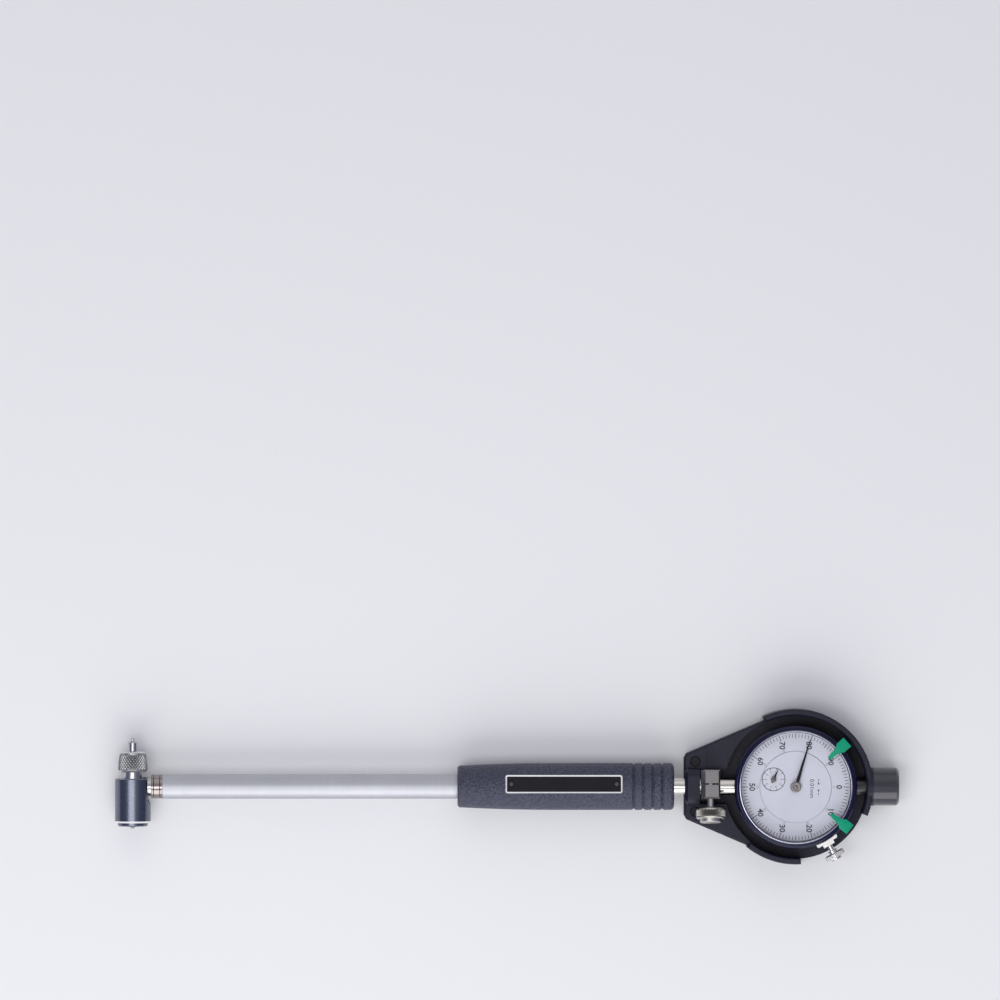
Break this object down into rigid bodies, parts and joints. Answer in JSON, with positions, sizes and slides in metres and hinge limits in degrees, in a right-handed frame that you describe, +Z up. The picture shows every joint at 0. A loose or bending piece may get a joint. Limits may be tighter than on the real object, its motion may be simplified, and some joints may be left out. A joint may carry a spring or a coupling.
{
  "type": "dial bore gauge",
  "caption": "Dial bore gauge with a T-shaped measuring head, sprung guide sleeve, long tube, plastic grip and a dial indicator held in a moulded guard.",
  "frame": {"origin": "middle of the gauge's length and width, on the plane it lies on", "axes": "+X along the handle from the measuring head to the dial, +Y along the measuring line towards the anvil, +Z up through the dial face"},
  "size_m": [0.3643, 0.072, 0.0274],
  "materials": {
    "satin_chrome": "satin chrome plate",
    "steel": "turned and ground",
    "spring_steel": "drawn wire and strip",
    "hard_tip": "lapped hard metal",
    "brass": "turned",
    "grip_plastic": "fine pebble",
    "plate_black": "black field in a bright frame",
    "nickel": "nickel plate",
    "case_black": "gloss navy black",
    "dial_white": "matt white print",
    "hand_black": "black lacquer",
    "crystal_clear": "clear, polished",
    "marker_green": "moulded",
    "guard_black": "moulded, fine grain",
    "screw_black": "black oxide"
  },
  "bodies": {
    "gauge": {"head_body": "steel", "contact_bush": "brass", "crank_pin": "steel", "anvil": "steel", "neck_ring": "satin_chrome", "tube": "satin_chrome", "rod_bush_front": "brass", "rod_bush_rear": "brass", "guide_spring": "spring_steel", "rod_spring": "spring_steel", "grip": "grip_plastic", "name_plate": "plate_black", "plate_rivets": "screw_black", "shaft": "satin_chrome", "stem_clamp": "nickel", "stem": "satin_chrome", "spindle_cap": "case_black", "indicator_case": "case_black", "case_back": "case_black", "back_screws": "steel", "movement_plate": "brass", "movement_bridge": "brass", "hairspring": "spring_steel", "dial_centre": "dial_white", "bezel_clamp_shoe": "nickel", "dial_guard": "guard_black", "guard_cap": "guard_black", "guard_screws": "screw_black"},
    "guide": {"guide_sleeve": "satin_chrome"},
    "contact": {"contact_plunger": "steel", "contact_tip": "hard_tip"},
    "crank": {"bell_crank": "steel"},
    "rod": {"push_rod": "steel"},
    "spindle": {"spindle": "steel", "spindle_point": "steel"},
    "counter": {"counter_arbor": "brass", "counter_hand": "hand_black"},
    "hand": {"centre_arbor": "steel", "main_hand": "hand_black"},
    "take_up": {"take_up_wheel": "brass"},
    "bezel": {"bezel": "case_black", "crystal": "crystal_clear", "scale_ring": "dial_white"},
    "marker_a": {"limit_marker_a": "marker_green"},
    "marker_b": {"limit_marker_b": "marker_green"},
    "nut": {"anvil_nut": "satin_chrome"},
    "clamp_screw": {"clamp_screw": "nickel"},
    "bezel_clamp_screw": {"bezel_clamp_screw": "nickel"}
  },
  "joints": [
    {"name": "hand_turn", "type": "hinge", "parent": "gauge", "child": "hand", "pos_m": [0.13415, 0, 0.0109], "axis": [0, 0, 1], "range_deg": [-440, 0]},
    {"name": "counter_turn", "type": "hinge", "parent": "gauge", "child": "counter", "pos_m": [0.12384, 0.00355, 0.0109], "axis": [0, 0, 1], "range_deg": [0, 44]},
    {"name": "take_up_turn", "type": "hinge", "parent": "gauge", "child": "take_up", "pos_m": [0.14446, -0.00355, 0.0109], "axis": [0, 0, 1], "range_deg": [0, 44]},
    {"name": "spindle_slide", "type": "slide", "parent": "gauge", "child": "spindle", "axis": [1, 0, 0], "range_m": [0, 0.00122]},
    {"name": "rod_slide", "type": "slide", "parent": "gauge", "child": "rod", "axis": [1, 0, 0], "range_m": [0, 0.0012], "stiffness_N_per_m": 600, "springref_m": -0.002, "deforming": ["rod_spring", "hairspring"]},
    {"name": "crank_turn", "type": "hinge", "parent": "gauge", "child": "crank", "pos_m": [-0.1692, -0.0046, 0.0109], "axis": [0, 0, 1], "range_deg": [-15.2, 0]},
    {"name": "contact_slide", "type": "slide", "parent": "gauge", "child": "contact", "axis": [0, 1, 0], "range_m": [0, 0.00122]},
    {"name": "guide_slide", "type": "slide", "parent": "gauge", "child": "guide", "axis": [0, 1, 0], "range_m": [0, 0.002], "stiffness_N_per_m": 300, "springref_m": -0.002, "deforming": ["guide_spring"]},
    {"name": "bezel_turn", "type": "hinge", "parent": "gauge", "child": "bezel", "pos_m": [0.13415, 0, 0.0109], "axis": [0, 0, 1], "continuous": true},
    {"name": "marker_a_turn", "type": "hinge", "parent": "bezel", "child": "marker_a", "pos_m": [0.13415, 0, 0.0109], "axis": [0, 0, 1], "range_deg": [-30, 120]},
    {"name": "marker_b_turn", "type": "hinge", "parent": "bezel", "child": "marker_b", "pos_m": [0.13415, 0, 0.0109], "axis": [0, 0, 1], "range_deg": [-120, 30]},
    {"name": "anvil_nut_turn", "type": "hinge", "parent": "gauge", "child": "nut", "pos_m": [-0.1738, 0.00665, 0.0109], "axis": [0, 1, 0], "range_deg": [0, 360]},
    {"name": "clamp_screw_turn", "type": "hinge", "parent": "gauge", "child": "clamp_screw", "pos_m": [0.0947, 0.00105, 0.01841], "axis": [0, -0.9903, 0.1392], "range_deg": [0, 360]},
    {"name": "bezel_clamp_turn", "type": "hinge", "parent": "gauge", "child": "bezel_clamp_screw", "pos_m": [0.13415, 0, 0.0167], "axis": [0.5, -0.866, 0], "range_deg": [0, 360]}
  ],
  "couplings": [
    {"joint": "spindle_slide", "follows": "rod_slide", "ratio": 1},
    {"joint": "contact_slide", "follows": "rod_slide", "ratio": 1},
    {"joint": "crank_turn", "follows": "rod_slide", "rad_per_m": -217.39},
    {"joint": "hand_turn", "follows": "rod_slide", "rad_per_m": -6283.2},
    {"joint": "counter_turn", "follows": "rod_slide", "rad_per_m": 628.32},
    {"joint": "take_up_turn", "follows": "rod_slide", "rad_per_m": 628.32}
  ]
}
